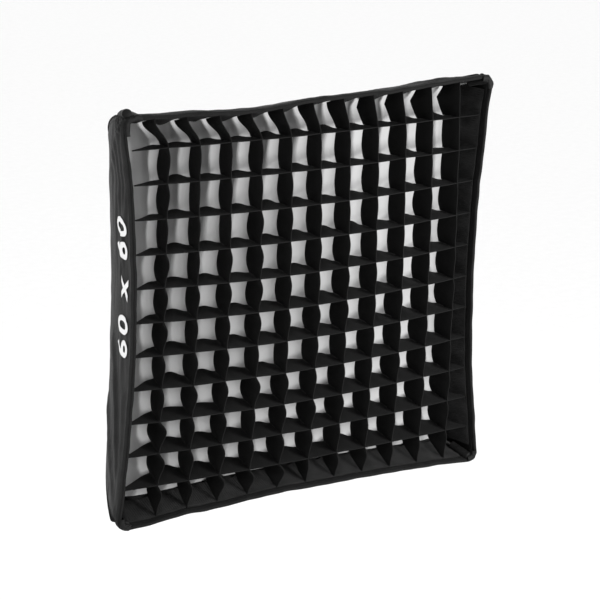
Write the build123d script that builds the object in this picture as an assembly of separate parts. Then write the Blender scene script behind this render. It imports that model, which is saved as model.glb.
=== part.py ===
from build123d import *
from math import asin, atan2, cos, degrees, radians, sin, sqrt
import os

# A square fabric softbox, 600 mm across, on a three-claw bayonet speed ring.
# Frame: the origin is the centre of the seat that meets the light, +Z is up, and the box opens towards -Y.
# A depth is a distance in front of that seat, so a point at depth d has y = -d.
# Left, right, top and bottom are as seen from the front, looking along +Y: right is +X.

# ---- driving dimensions, millimetres ----
front_half = 300.0        # half the side of the open front, at its corners
side_bow = 19.0           # the left and right front edges are pulled in this much at their middles
end_bow = 11.0            # and the top and bottom ones this much
hem_front = 350.0         # depth of the hem's front face
shell_front = 342.0       # depth where the cloth of a side panel ends in the hem
hem_end_gap = 14.0        # the corner pockets end in the gaps between the four hems
shell_rear = 20.0         # depth of the side panels' rear edge, around the ring
rear_half = 88.0          # half the side of the rear opening
rod_gap_radius = 105.0    # inside this the rear corners are open, where the rods go through
front_flare = 20.0        # degrees between a rod and the axis at the front
rod_inset = 11.0          # a rod's centre lies this far inside the corner of the cloth
rod_radius = 2.5
cloth = 1.5               # offset between a panel's inner and outer corner arcs

cell_pitch = 48.0         # spacing of the egg-crate strips
cells = 12
strip_front = 338.0
strip_rear = 295.0
strip_tail = 6.0          # a strip tapers over its end cell to this depth of cloth at the border
strip_thick = 1.0
slot_width = 1.6

diffuser_depth = 286.0
lip_rear = 278.0          # the lip's loop tape reaches from here to its front edge
lip_front = 337.0
baffle_depth = 160.0
baffle_half = 150.0

# ---- speed ring and bayonet insert ----
bore_radius = 49.0        # clear bore for the flash tube
seat_radius = 66.0        # outside of the insert's raised seat
flange_radius = 71.8      # insert's captive flange
flange_rear, flange_front = 6.0, 8.0
sheet_steel = 2.0
ledge_radius = 66.5
counterbore_radius = 73.5
ring_radius = 84.0
ring_rear, ring_front, bead_front = 3.2, 11.0, 15.0
ledge_front = 5.7
claw_inner, claw_outer = 57.0, 65.0
claw_height = 11.0
claw_sweep = 26.0         # degrees

# ---- rod hardware ----
ferrule_radius = 4.0
ferrule_length = 20.0
socket_radius = 7.0
socket_inner_r, socket_outer_r = 72.0, 94.0
tip_radius = 4.2
tip_ball = 4.9
tip_length = 16.0
rod_front = 340.0         # depth of a rod's front end
pocket_radius = 6.3
pocket_length = 30.0

# ---- lock screws ----
lock_depth = 7.0
lock_bore = 3.08
lock_shank = 3.0
lock_shoe_r = 72.1        # the clamping end, when locked
knob_inner_r, knob_outer_r = 96.0, 110.0
knob_radius = 8.5

# ---- the corner arc, in the plane of a diagonal: rods and corner seams are concentric with it ----
root2 = sqrt(2)
corner_front = (front_half * root2 - cloth * root2, hem_front - 5.0)
corner_rear = (rear_half * root2, shell_rear)
chord_r = corner_front[0] - corner_rear[0]
chord_d = corner_front[1] - corner_rear[1]
half_turn = degrees(atan2(chord_r, chord_d)) - front_flare
shell_arc = sqrt(chord_r**2 + chord_d**2) / (2 * sin(radians(half_turn)))
centre_r = corner_front[0] - shell_arc * cos(radians(front_flare))
centre_d = corner_front[1] + shell_arc * sin(radians(front_flare))
rod_arc = shell_arc - rod_inset

corners = ("top_right", "bottom_right", "bottom_left", "top_left")
sides = ("right", "bottom", "left", "top")
quarter = 90.0


def corner_half(depth, inset=0.0):
    """Half the side of the shell's inner square at a depth, on a corner arc drawn inset mm inside it."""
    return (centre_r + sqrt((shell_arc - inset) ** 2 - (centre_d - depth) ** 2)) / root2


def side_x(half, z, front_bow=side_bow):
    """X of the right side's surface at height z, for a front edge pulled in by front_bow."""
    return half - front_bow * half / front_half * (1 - (z / half) ** 2)


def angle_at_depth(radius, depth):
    return degrees(asin((centre_d - depth) / radius))


def angle_at_r(radius, r):
    return degrees(asin(sqrt(1 - ((r - centre_r) / radius) ** 2)))


def arc_point(radius, angle):
    """(r, y) on a corner arc."""
    return centre_r + radius * cos(radians(angle)), -centre_d + radius * sin(radians(angle))


def arc_tube(radius, tube, start, stop, bore=0.0):
    """A tube bent along a corner arc from angle start to stop, in the XY plane with X as r."""
    r, y = arc_point(radius, start)
    tangent = (-sin(radians(start)), cos(radians(start)), 0)
    section = Circle(tube) - Circle(bore) if bore else Circle(tube)
    profile = Plane(origin=(r, y, 0), x_dir=(0, 0, 1), z_dir=tangent) * section
    axis = Axis((centre_r, -centre_d, 0), (0, 0, 1))
    return revolve(profile, axis, stop - start)


def on_diagonal(shape):
    """Turns a shape drawn along +X onto the top right diagonal."""
    return Rot(0, -45, 0) * shape


def write(name, shape):
    export_step(shape, f"parts/{name}.step")


def write_corners(stem, shape):
    """One node per corner: the same shape turned a quarter each time."""
    for turn, corner in enumerate(corners):
        write(f"{stem}_{corner}", Rot(0, quarter * turn, 0) * shape)


def write_group(count, name, shape):
    """One node holding the same shape turned evenly about the axis, as separate solids."""
    write(name, Compound([Rot(0, 360 / count * turn, 0) * shape for turn in range(count)]))


# ---- cloth ----
def side_section(depth, outer_inset, inner_inset, end_gap, front_bow):
    """Section of a sheet on the right side, between two insets, ending end_gap short of the diagonals."""
    edges = []
    ends = []
    for inset in (outer_inset, inner_inset):
        half = corner_half(depth, inset)
        reach = corner_half(depth) - end_gap
        top = (side_x(half, reach, front_bow), -depth, reach)
        middle = (side_x(half, 0, front_bow), -depth, 0)
        bottom = (side_x(half, reach, front_bow), -depth, -reach)
        edges.append(Edge.make_three_point_arc(top, middle, bottom))
        ends.append((top, bottom))
    edges.append(Edge.make_line(ends[0][0], ends[1][0]))
    edges.append(Edge.make_line(ends[0][1], ends[1][1]))
    return Face(Wire(edges))


def side_sheets(rear, front, outer_inset, inner_inset, end_gap, sections=2):
    """Four bowed sheets, lofted from rear depth to front depth, in the order of sides."""
    start = angle_at_depth(shell_arc, rear)
    stop = angle_at_depth(shell_arc, front)
    depths = [rear]
    for step in range(1, sections - 1):
        angle = start + (stop - start) * step / (sections - 1)
        depths.append(centre_d - shell_arc * sin(radians(angle)))
    depths.append(front)
    pair = []
    for front_bow in (side_bow, end_bow):
        profiles = [side_section(d, outer_inset, inner_inset, end_gap, front_bow) for d in depths]
        pair.append(loft(profiles))
    return [Rot(0, quarter * turn, 0) * pair[turn % 2] for turn in range(4)]


def write_sides(stem, shapes):
    for side, shape in zip(sides, shapes):
        write(f"{stem}_{side}", shape)


def bowed_square(half, cut_corner, depth, thick):
    """A flat sheet whose four sides are pulled in, with its corners cut off."""
    reach = half - cut_corner
    edges = []
    for turn in range(4):
        turned = Rot(0, quarter * turn, 0)
        own_bow, next_bow = (side_bow, end_bow) if turn % 2 == 0 else (end_bow, side_bow)
        own_x = side_x(half, reach, own_bow)
        first = Vector(own_x, -depth, reach)
        last = Vector(own_x, -depth, -reach)
        middle = Vector(side_x(half, 0, own_bow), -depth, 0)
        next_first = Vector(reach, -depth, -side_x(half, reach, next_bow))
        edges.append(turned * Edge.make_three_point_arc(first, middle, last))
        edges.append(turned * Edge.make_line(last, next_first))
    return extrude(Face(Wire(edges)), amount=thick / 2, dir=(0, 1, 0), both=True)


def make_shell():
    write_sides("shell", side_sheets(shell_rear, shell_front, -cloth, 0, 2.5, 8))
    write_sides("hem", side_sheets(shell_front + 0.3, hem_front, -cloth - 1.5, 1.5, hem_end_gap))
    write_sides("lip_loop_tape", side_sheets(lip_rear, lip_front, 0.5, 1.7, 24, 4))
    tape_start = angle_at_depth(shell_arc, shell_front - 52)
    tape_stop = angle_at_depth(shell_arc, shell_rear + 8)
    seam_tape = arc_tube(shell_arc - 2.9, 1.3, tape_start, tape_stop)
    write_corners("seam_tape", on_diagonal(seam_tape))


def make_collar():
    """Four cloth flaps folded over the ring; the left and right ones are notched for the lock screws."""
    wall_in, wall_out, flap_rear, lip_in = 85.0, 86.2, 1.2, 78.5
    flap_sweep, notch = 62.0, 19.0
    outline = [
        (wall_out, -19.5), (wall_out, -flap_rear), (lip_in, -flap_rear),
        (lip_in, -flap_rear - 1.2), (wall_in, -flap_rear - 1.2), (wall_in, -19.5),
    ]
    flap = revolve(make_face(Polyline(*outline, close=True)), Axis.Y, flap_sweep)
    flap = Rot(0, -flap_sweep / 2, 0) * flap
    notched = flap - Pos(80, -4.1, 0) * Box(40, 20.2, notch)
    for turn, side in enumerate(sides):
        shape = notched if side in ("left", "right") else flap
        write(f"collar_flap_{side}", Rot(0, quarter * turn, 0) * shape)


def make_gussets():
    """Cloth corners closing the gap between the round ring and the square rear edge of the panels."""
    square = bowed_square(rear_half + 1.0, 10.0, shell_rear - 1.2, 1.0)
    gussets = square - Pos(0, -shell_rear, 0) * Rot(90, 0, 0) * Cylinder(rod_gap_radius, 10)
    write("rear_gussets", Compound(gussets.solids()))


def make_front_diffuser():
    half = corner_half(diffuser_depth, 4.4)
    write("front_diffuser", bowed_square(half, 15.0, diffuser_depth, 0.8))
    tapes = side_sheets(diffuser_depth - 7, strip_rear - 4, 2.2, 3.8, 27, 4)
    write("diffuser_edge_tapes", Compound(tapes))


def make_inner_baffle():
    write("inner_baffle", bowed_square(baffle_half, 8.0, baffle_depth, 0.8))
    angle = angle_at_depth(rod_arc, baffle_depth)
    span = degrees(5.0 / rod_arc)
    rod_r = arc_point(rod_arc, angle)[0]
    clip = arc_tube(rod_arc, 4.2, angle - span, angle + span)
    arm = Pos(rod_r - 9, -baffle_depth, 0) * Box(12, 4, 12)
    bore = arc_tube(rod_arc, rod_radius + 0.2, angle - 2 * span, angle + 2 * span)
    write_group(4, "baffle_clips", on_diagonal(clip + arm - bore))
    strap_in = (baffle_half - 4.0) * root2 + 0.6
    strap_out = rod_r - 15.5
    strap = Pos((strap_in + strap_out) / 2, -baffle_depth, 0) * Box(strap_out - strap_in, 1.2, 12)
    write_group(4, "baffle_straps", on_diagonal(strap))


# ---- egg-crate grid ----
def strip_end(offset, depth, front_bow):
    """Where a strip at that offset from the middle meets the border."""
    return side_x(corner_half(depth, 5.2), offset, front_bow) - 1.5


def strip_outline(offset, slots_from_front, front_bow, low_tail, high_tail):
    """One strip in its own plane: x across the box, y its depth, with half-depth slots at each crossing."""
    middle = (strip_front + strip_rear) / 2
    slots = [cell_pitch * (k - cells / 2) for k in range(1, cells)]
    shoulder = slots[-1] + slot_width
    outline = []
    if low_tail < strip_front - strip_rear:
        outline.append((-shoulder, strip_rear))
    for depth in (strip_front - low_tail, strip_front):
        outline.append((-strip_end(offset, depth, front_bow), depth))
    if slots_from_front:
        for x in slots:
            left, right = x - slot_width / 2, x + slot_width / 2
            outline += [(left, strip_front), (left, middle), (right, middle), (right, strip_front)]
    for depth in (strip_front, strip_front - high_tail):
        outline.append((strip_end(offset, depth, front_bow), depth))
    if high_tail < strip_front - strip_rear:
        outline.append((shoulder, strip_rear))
    if not slots_from_front:
        for x in reversed(slots):
            left, right = x - slot_width / 2, x + slot_width / 2
            outline += [(right, strip_rear), (right, middle), (left, middle), (left, strip_rear)]
    return outline


def make_grid():
    """Eleven strips each way, slotted half through so they cross without touching, in a border.
    Their ends taper over the end cell, but for the upright strips' top ends."""
    strip_depth = strip_front - strip_rear
    level, upright = [], []
    for k in range(1, cells):
        offset = cell_pitch * (k - cells / 2)
        outline = strip_outline(offset, True, side_bow, strip_tail, strip_tail)
        plate = extrude(make_face(Polyline(*outline, close=True)), amount=strip_thick / 2, both=True)
        level.append(Pos(0, 0, offset) * Rot(180, 0, 0) * plate)
        outline = strip_outline(offset, False, end_bow, strip_depth, strip_tail)
        plate = extrude(make_face(Polyline(*outline, close=True)), amount=strip_thick / 2, both=True)
        upright.append(Pos(offset, 0, 0) * Rot(0, 90, 0) * Rot(180, 0, 0) * plate)
    write("grid_level_strips", Compound(level))
    write("grid_upright_strips", Compound(upright))
    write_sides("grid_border", side_sheets(strip_rear - 3, strip_front + 1, 2.2, 3.8, 27, 4))


# ---- rods and what is on them ----
def make_rods():
    front = angle_at_depth(rod_arc, rod_front)
    rear = angle_at_r(rod_arc, socket_inner_r + 3.0)
    write_corners("rod", on_diagonal(arc_tube(rod_arc, rod_radius, front, rear)))

    ferrule = arc_tube(
        rod_arc, ferrule_radius, rear - degrees(ferrule_length / rod_arc), rear, rod_radius + 0.05
    )
    write_corners("rod_ferrule", on_diagonal(ferrule))

    cap_stop = front + degrees(tip_length / rod_arc)
    sleeve = arc_tube(rod_arc, tip_radius, front - degrees(0.4 / rod_arc), cap_stop)
    nose_r, nose_y = arc_point(rod_arc, front)
    nose = Pos(nose_r, nose_y, 0) * Sphere(tip_ball)
    hole = arc_tube(rod_arc, rod_radius + 0.05, front - degrees(0.1 / rod_arc), cap_stop + 1)
    write_corners("rod_tip", on_diagonal(sleeve + nose - hole))

    pocket_front = front - degrees(7.0 / rod_arc)
    pocket = arc_tube(rod_arc, pocket_radius, pocket_front, front + degrees(pocket_length / rod_arc))
    room = arc_tube(
        rod_arc, tip_radius + 0.4, front - degrees(0.4 / rod_arc), front + degrees(60 / rod_arc)
    )
    room += Pos(nose_r, nose_y, 0) * Sphere(tip_ball + 0.4)
    write_corners("corner_pocket", on_diagonal(pocket - room))


# ---- speed ring ----
def ring_socket():
    """Casting and hole of one rod socket, drawn along +X."""
    middle_r = (socket_inner_r + socket_outer_r) / 2
    angle = angle_at_r(rod_arc, middle_r)
    r, y = arc_point(rod_arc, angle)
    along = (sin(radians(angle)), -cos(radians(angle)), 0)
    length = socket_outer_r - socket_inner_r
    plane = Plane(origin=(r, y, 0), x_dir=(0, 0, 1), z_dir=along)
    casting = plane * Cylinder(socket_radius, length)
    foot_r = (counterbore_radius + ring_radius) / 2
    casting += Pos(foot_r, -12, 0) * Box(ring_radius - counterbore_radius, 12, 2 * socket_radius)
    hole = plane * Pos(0, 0, 2) * Cylinder(ferrule_radius + 0.3, length)
    return casting, hole


clip_angles = (90.0, 200.0, 340.0)
clip_screw_r = 76.8
clip_front = 12.2


def make_ring():
    outline = [
        (ledge_radius, -ring_rear), (ring_radius, -ring_rear), (ring_radius, -bead_front),
        (80.8, -bead_front), (80.8, -ring_front), (counterbore_radius, -ring_front),
        (counterbore_radius, -ledge_front), (ledge_radius, -ledge_front),
    ]
    ring = revolve(make_face(Polyline(*outline, close=True)), Axis.Y)
    casting, hole = ring_socket()
    for turn in range(4):
        ring += Rot(0, quarter * turn - 45, 0) * casting
    for side in (1, -1):
        ring += Pos(side * 86, -lock_depth, 0) * Rot(0, 90, 0) * Cylinder(6.0, 12)
    for turn in range(4):
        ring -= Rot(0, quarter * turn - 45, 0) * hole
    for side in (1, -1):
        ring -= Pos(side * 84, -lock_depth, 0) * Rot(0, 90, 0) * Cylinder(lock_bore, 30)
    for angle in clip_angles:
        spot = Rot(0, -angle, 0) * Pos(clip_screw_r, -ring_front + 3.2, 0)
        ring -= spot * Rot(90, 0, 0) * Cylinder(1.6, 6.8)
    write("speed_ring", ring)


def make_clips():
    """Z-shaped clips, screwed to the ring, that keep the bayonet insert captive, and their screws."""
    outline = [
        (80, -ring_front - 0.05), (80, -clip_front), (71.9, -clip_front), (71.9, -9.5), (68.5, -9.5),
        (68.5, -8.3), (73.0, -8.3), (73.0, -ring_front - 0.05),
    ]
    clip = extrude(make_face(Polyline(*outline, close=True)), amount=6.5, both=True)
    clip -= Pos(clip_screw_r, -ring_front, 0) * Rot(90, 0, 0) * Cylinder(1.65, 6)
    head = Pos(clip_screw_r, -clip_front - 1.1, 0) * Rot(90, 0, 0) * Cylinder(3.0, 2.0)
    shank = Pos(clip_screw_r, -ring_front + 1.8, 0) * Rot(90, 0, 0) * Cylinder(1.5, 8.0)
    slot = Pos(clip_screw_r, -clip_front - 2.0, 0) * Box(4.6, 1.4, 0.9)
    screw = head + shank - slot
    write("retaining_clips", Compound([Rot(0, -angle, 0) * clip for angle in clip_angles]))
    write("clip_screws", Compound([Rot(0, -angle, 0) * screw for angle in clip_angles]))


def make_insert():
    """Pressed steel bayonet insert: raised seat, captive flange and three claws that lock in the light."""
    outline = [
        (bore_radius, 0), (seat_radius, 0), (seat_radius, -flange_rear), (flange_radius, -flange_rear),
        (flange_radius, -flange_front), (seat_radius - sheet_steel, -flange_front),
        (seat_radius - sheet_steel, -sheet_steel), (bore_radius, -sheet_steel),
    ]
    insert = revolve(make_face(Polyline(*outline, close=True)), Axis.Y)
    claw_outline = [
        (claw_inner, -1), (claw_inner, claw_height), (claw_outer, claw_height),
        (claw_outer, claw_height - sheet_steel), (claw_inner + sheet_steel, claw_height - sheet_steel),
        (claw_inner + sheet_steel, -1),
    ]
    claw = revolve(make_face(Polyline(*claw_outline, close=True)), Axis.Y, claw_sweep)
    for turn in range(3):
        insert += Rot(0, 120 * turn - claw_sweep / 2 + 90, 0) * claw
    write("bayonet_insert", insert)


def make_lock_screws():
    """Two radial thumb screws that clamp the insert; the knob turns on its shank's axis."""
    shank_length = knob_inner_r + 7.6 - lock_shoe_r
    shank = Rot(0, 90, 0) * Cylinder(lock_shank, shank_length)
    shank = Pos(lock_shoe_r + shank_length / 2, -lock_depth, 0) * shank
    grip = Cylinder(knob_radius, knob_outer_r - knob_inner_r)
    flutes = 12
    for k in range(flutes):
        grip -= Rot(0, 0, 360 / flutes * k) * Pos(knob_radius + 0.6, 0, 0) * Cylinder(1.5, 20)
    collar = Pos(0, 0, -(knob_outer_r - knob_inner_r) / 2 - 1) * Cylinder(5.5, 2)
    hole = Pos(0, 0, -4) * Cylinder(lock_bore, 16.4)
    knob = Rot(0, 90, 0) * (grip + collar - hole)
    knob = Pos((knob_inner_r + knob_outer_r) / 2, -lock_depth, 0) * knob
    for turn, side in ((0, "right"), (180, "left")):
        write(f"lock_screw_{side}", Rot(0, turn, 0) * shank)
        write(f"lock_knob_{side}", Rot(0, turn, 0) * knob)


os.makedirs("parts", exist_ok=True)
make_insert()
make_ring()
make_clips()
make_lock_screws()
make_rods()
make_shell()
make_collar()
make_gussets()
make_inner_baffle()
make_front_diffuser()
make_grid()
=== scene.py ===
import math
import random

import bpy
from mathutils import Matrix, Vector, noise


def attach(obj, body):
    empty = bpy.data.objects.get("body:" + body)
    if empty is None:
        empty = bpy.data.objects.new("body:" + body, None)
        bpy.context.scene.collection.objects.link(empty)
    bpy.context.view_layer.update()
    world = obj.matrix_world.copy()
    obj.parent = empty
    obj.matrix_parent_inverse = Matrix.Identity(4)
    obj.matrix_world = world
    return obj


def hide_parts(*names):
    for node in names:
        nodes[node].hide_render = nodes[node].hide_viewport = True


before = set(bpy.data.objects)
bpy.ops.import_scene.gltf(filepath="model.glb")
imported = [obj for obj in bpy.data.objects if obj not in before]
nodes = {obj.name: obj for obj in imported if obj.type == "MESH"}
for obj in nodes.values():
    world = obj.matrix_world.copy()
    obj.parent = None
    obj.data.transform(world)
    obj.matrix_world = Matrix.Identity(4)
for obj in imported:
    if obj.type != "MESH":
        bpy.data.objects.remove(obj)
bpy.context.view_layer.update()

print("frame loaded,", len(nodes), "CAD nodes")

# Metres throughout. A depth is a distance in front of the ring's seat, so a point at depth d has y = -d.
# Left, right, top and bottom are as seen from the front.
boxShape = {
    "frontHalf": 0.2985,      # axis to the inside of the cloth at a front corner
    "frontDepth": 0.345,
    "rearHalf": 0.088,        # the same at the panels' rear edge
    "rearDepth": 0.020,
    "flare": 20.0,            # degrees between a rod and the axis at the front
    "bow": {"right": 0.019, "left": 0.019, "top": 0.011, "bottom": 0.011},
    "bowHalf": 0.300,         # the bow is the pull-in of a side this long from its middle to its end
    "spread": 0.0215,         # the two lower corners stand this share wider than the middle
    "hemPull": 0.0022,        # the hem draws the front edge in by this
    "hemPullRun": 0.05,
    "spreadFrom": 0.12,       # depth where the spread begins, and the run over which it grows
    "spreadRun": 0.20,
    "topDrop": 0.0095,        # the top edge hangs this much lower over its left half
    "dropRight": 0.02,        # where the drop begins along the edge, and its run
    "dropAcross": 0.14,
    "dropFrom": 0.06,         # the same in depth
    "dropRun": 0.12,
    "dropLow": 0.16,          # and in height
    "dropRise": 0.09,
}
sideNames = ("right", "bottom", "left", "top")
cornerNames = ("top_right", "bottom_right", "bottom_left", "top_left")
root2 = math.sqrt(2)


def cornerArc():
    # every rod and corner seam is concentric with this arc, in the plane of its diagonal
    flare = math.radians(boxShape["flare"])
    frontR = boxShape["frontHalf"] * root2
    chordR = frontR - boxShape["rearHalf"] * root2
    chordDepth = boxShape["frontDepth"] - boxShape["rearDepth"]
    halfTurn = math.atan2(chordR, chordDepth) - flare
    radius = math.hypot(chordR, chordDepth) / (2 * math.sin(halfTurn))
    return radius, frontR - radius * math.cos(flare), boxShape["frontDepth"] + radius * math.sin(flare)


arcRadius, arcCentreR, arcCentreDepth = cornerArc()


def cornerHalf(depth, inset=0.0):
    # half the side of the box's square at a depth, on an arc drawn inset inside the corner arc
    return (arcCentreR + math.sqrt((arcRadius - inset) ** 2 - (arcCentreDepth - depth) ** 2)) / root2


def depthAngle(depth, radius):
    return math.asin((arcCentreDepth - depth) / radius)


def smooth(t):
    t = min(max(t, 0.0), 1.0)
    return t * t * (3 - 2 * t)


def rand(seed, *values):
    # smooth noise from -1 to 1 that is the same on every run
    a, b, c = (list(values) + [0.0, 0.0])[:3]
    return noise.noise(Vector((a + seed * 7.31, b + seed * 3.17, c)))


def topDrop(x):
    # how much lower the top edge hangs at a place along it
    return boxShape["topDrop"] * smooth((boxShape["dropRight"] - x) / boxShape["dropAcross"])


def spread(point):
    # the lower half of the front stands a little wider than the upper half, and the top left hangs lower
    share = boxShape["spread"] * smooth((-point.y - boxShape["spreadFrom"]) / boxShape["spreadRun"])
    drop = topDrop(point.x) * smooth((-point.y - boxShape["dropFrom"]) / boxShape["dropRun"])
    drop *= smooth((point.z - boxShape["dropLow"]) / boxShape["dropRise"])
    wider = 1 + share * max(-point.z / boxShape["bowHalf"], 0.0)
    return Vector((point.x * wider, point.y, point.z - drop))


def onSide(side, out, depth, along):
    # out is the distance from the axis, along runs along the side: up on the right, down on the left
    if side == "right":
        return spread(Vector((out, -depth, along)))
    if side == "left":
        return spread(Vector((-out, -depth, -along)))
    if side == "bottom":
        return spread(Vector((along, -depth, -out)))
    return spread(Vector((-along, -depth, out)))


edgeWave = {"long": 0.0013, "short": 0.0007, "longPitch": 0.075, "shortPitch": 0.028, "reach": 0.10,
            "gain": 2.0}


def frontWave(side, along):
    # how far the front edge wanders out of its smooth bow
    seed = 1 + sideNames.index(side)
    wave = edgeWave["long"] * rand(seed, along / edgeWave["longPitch"])
    wave += edgeWave["short"] * rand(seed + 9, along / edgeWave["shortPitch"])
    return edgeWave["gain"] * wave * (1 - min(abs(along) / boxShape["frontHalf"], 1.0) ** 6)


def wallOut(side, depth, along, inset=0.0):
    # distance from the axis to a side's cloth
    half = cornerHalf(depth, inset)
    out = half - boxShape["bow"][side] * half / boxShape["bowHalf"] * (1 - (along / half) ** 2)
    out -= boxShape["hemPull"] * smooth(1 - (boxShape["frontDepth"] - depth) / boxShape["hemPullRun"])
    return out + frontWave(side, along) * smooth(1 - (boxShape["frontDepth"] - depth) / edgeWave["reach"])


# ---- small tools

def deselectAll():
    if bpy.context.object and bpy.context.object.mode != "OBJECT":
        bpy.ops.object.mode_set(mode="OBJECT")
    bpy.ops.object.select_all(action="DESELECT")


def pick(obj):
    deselectAll()
    obj.select_set(True)
    bpy.context.view_layer.objects.active = obj


def applyModifiers(obj):
    pick(obj)
    for modifier in list(obj.modifiers):
        bpy.ops.object.modifier_apply(modifier=modifier.name)


def editAll(obj):
    pick(obj)
    bpy.ops.object.mode_set(mode="EDIT")
    bpy.ops.mesh.select_all(action="SELECT")


def endEdit():
    bpy.ops.object.mode_set(mode="OBJECT")


def newGrid(name, columns, rows):
    deselectAll()
    bpy.ops.mesh.primitive_grid_add(x_subdivisions=columns, y_subdivisions=rows, size=1, location=(0, 0, 0))
    obj = bpy.context.object
    obj.name = obj.data.name = name
    return obj


def layCloth(name, columns, rows, spot, width, length, alongAt=None):
    # a flat cloth of columns by rows, laid where spot(u, v) says, u and v from 0 to 1
    # alongAt gives u for each column where they aren't even; the UV map is in metres of cloth
    obj = newGrid(name, columns, rows)
    mesh = obj.data
    uvLayer = mesh.uv_layers.active
    shares = []
    for vertex in mesh.vertices:
        column = round((vertex.co.x + 0.5) * columns)
        u = alongAt[column] if alongAt else column / columns
        v = round((vertex.co.y + 0.5) * rows) / rows
        shares.append((u, v))
    for loop in mesh.loops:
        u, v = shares[loop.vertex_index]
        uvLayer.data[loop.index].uv = (u * width, v * length)
    for vertex, (u, v) in zip(mesh.vertices, shares):
        vertex.co = spot(u, v)
    mesh.update()
    return obj


def faceOut(obj, awayFrom):
    # turns the faces so that most look away from a point, or away from the axis if it is None
    total = 0.0
    for face in obj.data.polygons:
        away = Vector((face.center.x, 0, face.center.z)) if awayFrom is None else face.center - awayFrom
        total += face.normal.dot(away) * face.area
    if total < 0:
        editAll(obj)
        bpy.ops.mesh.flip_normals()
        endEdit()


def deleteFaces(obj, unwanted):
    # deletes the faces for which unwanted(face) is true
    doomed = [face.index for face in obj.data.polygons if unwanted(face)]
    pick(obj)
    bpy.ops.object.mode_set(mode="EDIT")
    bpy.ops.mesh.select_mode(type="FACE")
    bpy.ops.mesh.select_all(action="DESELECT")
    endEdit()
    for index in doomed:
        obj.data.polygons[index].select = True
    bpy.ops.object.mode_set(mode="EDIT")
    bpy.ops.mesh.delete(type="FACE")
    endEdit()


def thicken(obj, thickness, offset=-1.0, inner=0, rim=0):
    solid = obj.modifiers.new("thickness", "SOLIDIFY")
    solid.thickness = thickness
    solid.offset = offset
    solid.use_even_offset = False
    solid.material_offset = inner
    solid.material_offset_rim = rim
    applyModifiers(obj)


def smoothFaces(obj, angle=50):
    pick(obj)
    bpy.ops.object.shade_smooth_by_angle(angle=math.radians(angle))


def setMaterials(obj, *materials):
    obj.data.materials.clear()
    for material in materials:
        obj.data.materials.append(material)


def place(obj, body, slot, *replaced):
    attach(obj, body)
    if replaced:
        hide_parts(*replaced)


def closeSeam(obj, fillEnds):
    # merges a tube's first and last rows, and fills its open ends if asked
    editAll(obj)
    bpy.ops.mesh.remove_doubles(threshold=0.00002)
    bpy.ops.mesh.select_all(action="SELECT")
    if fillEnds:
        bpy.ops.mesh.fill_holes(sides=0)
        bpy.ops.mesh.select_all(action="SELECT")
    bpy.ops.mesh.normals_make_consistent(inside=False)
    endEdit()


def makeTube(name, columns, rows, spot, width, length):
    # a closed tube: u runs along it, v once round its section
    obj = layCloth(name, columns, rows, spot, width, length)
    closeSeam(obj, True)
    return obj


def stitchRow(name, path, normals, stitch):
    # one row of stitches along a path of points, each a small flattened bead lying along the path
    pitch = stitch["pitch"]
    deselectAll()
    bpy.ops.mesh.primitive_uv_sphere_add(segments=6, ring_count=4, radius=0.5, location=(0, 0, 0))
    master = bpy.context.object
    beadPoints = [v.co.copy() for v in master.data.vertices]
    beadFaces = [tuple(f.vertices) for f in master.data.polygons]
    bpy.data.objects.remove(master)
    points, faces = [], []
    travelled, nextStitch = 0.0, pitch / 2
    for a, b, n in zip(path, path[1:], normals):
        step = (b - a).length
        while step > 0 and nextStitch <= travelled + step:
            centre = a.lerp(b, (nextStitch - travelled) / step)
            forward = (b - a).normalized()
            up = (n - forward * n.dot(forward)).normalized()
            across = up.cross(forward)
            first = len(points)
            for p in beadPoints:
                points.append(
                    centre + across * p.x * stitch["width"] + up * p.y * stitch["height"]
                    + forward * p.z * stitch["length"]
                )
            faces.extend(tuple(first + i for i in face) for face in beadFaces)
            nextStitch += pitch
        travelled += step
    mesh = bpy.data.meshes.new(name)
    mesh.from_pydata(points, [], faces)
    obj = bpy.data.objects.new(name, mesh)
    bpy.context.scene.collection.objects.link(obj)
    for face in mesh.polygons:
        face.use_smooth = True
    return obj


def joinInto(target, others):
    deselectAll()
    for obj in others:
        obj.select_set(True)
    target.select_set(True)
    bpy.context.view_layer.objects.active = target
    bpy.ops.object.join()


# ---- materials

def newMaterial(name):
    material = bpy.data.materials.new(name)
    material.use_nodes = True
    tree = material.node_tree
    shader = next(n for n in tree.nodes if n.type == "BSDF_PRINCIPLED")
    return material, tree, shader


def addNode(tree, kind, **settings):
    node = tree.nodes.new(kind)
    for key, value in settings.items():
        if key in node.inputs:
            node.inputs[key].default_value = value
        else:
            setattr(node, key, value)
    return node


def mapped(tree, source, scale):
    # coordinates from "UV" (metres of cloth) or "Object", scaled
    coordinates = tree.nodes.new("ShaderNodeTexCoord")
    mapping = tree.nodes.new("ShaderNodeMapping")
    mapping.inputs["Scale"].default_value = scale
    tree.links.new(coordinates.outputs[source], mapping.inputs["Vector"])
    return mapping.outputs["Vector"]


def noiseOf(tree, vector, scale, detail=3.0, roughness=0.55):
    node = addNode(tree, "ShaderNodeTexNoise", Scale=scale, Detail=detail, Roughness=roughness)
    tree.links.new(vector, node.inputs["Vector"])
    return node.outputs["Fac"]


def ramp(tree, value, stops):
    node = tree.nodes.new("ShaderNodeValToRGB")
    elements = node.color_ramp.elements
    while len(elements) < len(stops):
        elements.new(0.5)
    for element, (position, shade) in zip(elements, stops):
        element.position = position
        colour = (shade, shade, shade) if isinstance(shade, float) else shade
        element.color = (*colour, 1)
    tree.links.new(value, node.inputs["Fac"])
    return node.outputs["Color"]


def maths(tree, operation, a, b):
    node = addNode(tree, "ShaderNodeMath", operation=operation)
    for socket, value in zip(node.inputs, (a, b)):
        if isinstance(value, (int, float)):
            socket.default_value = value
        else:
            tree.links.new(value, socket)
    return node.outputs["Value"]


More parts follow.
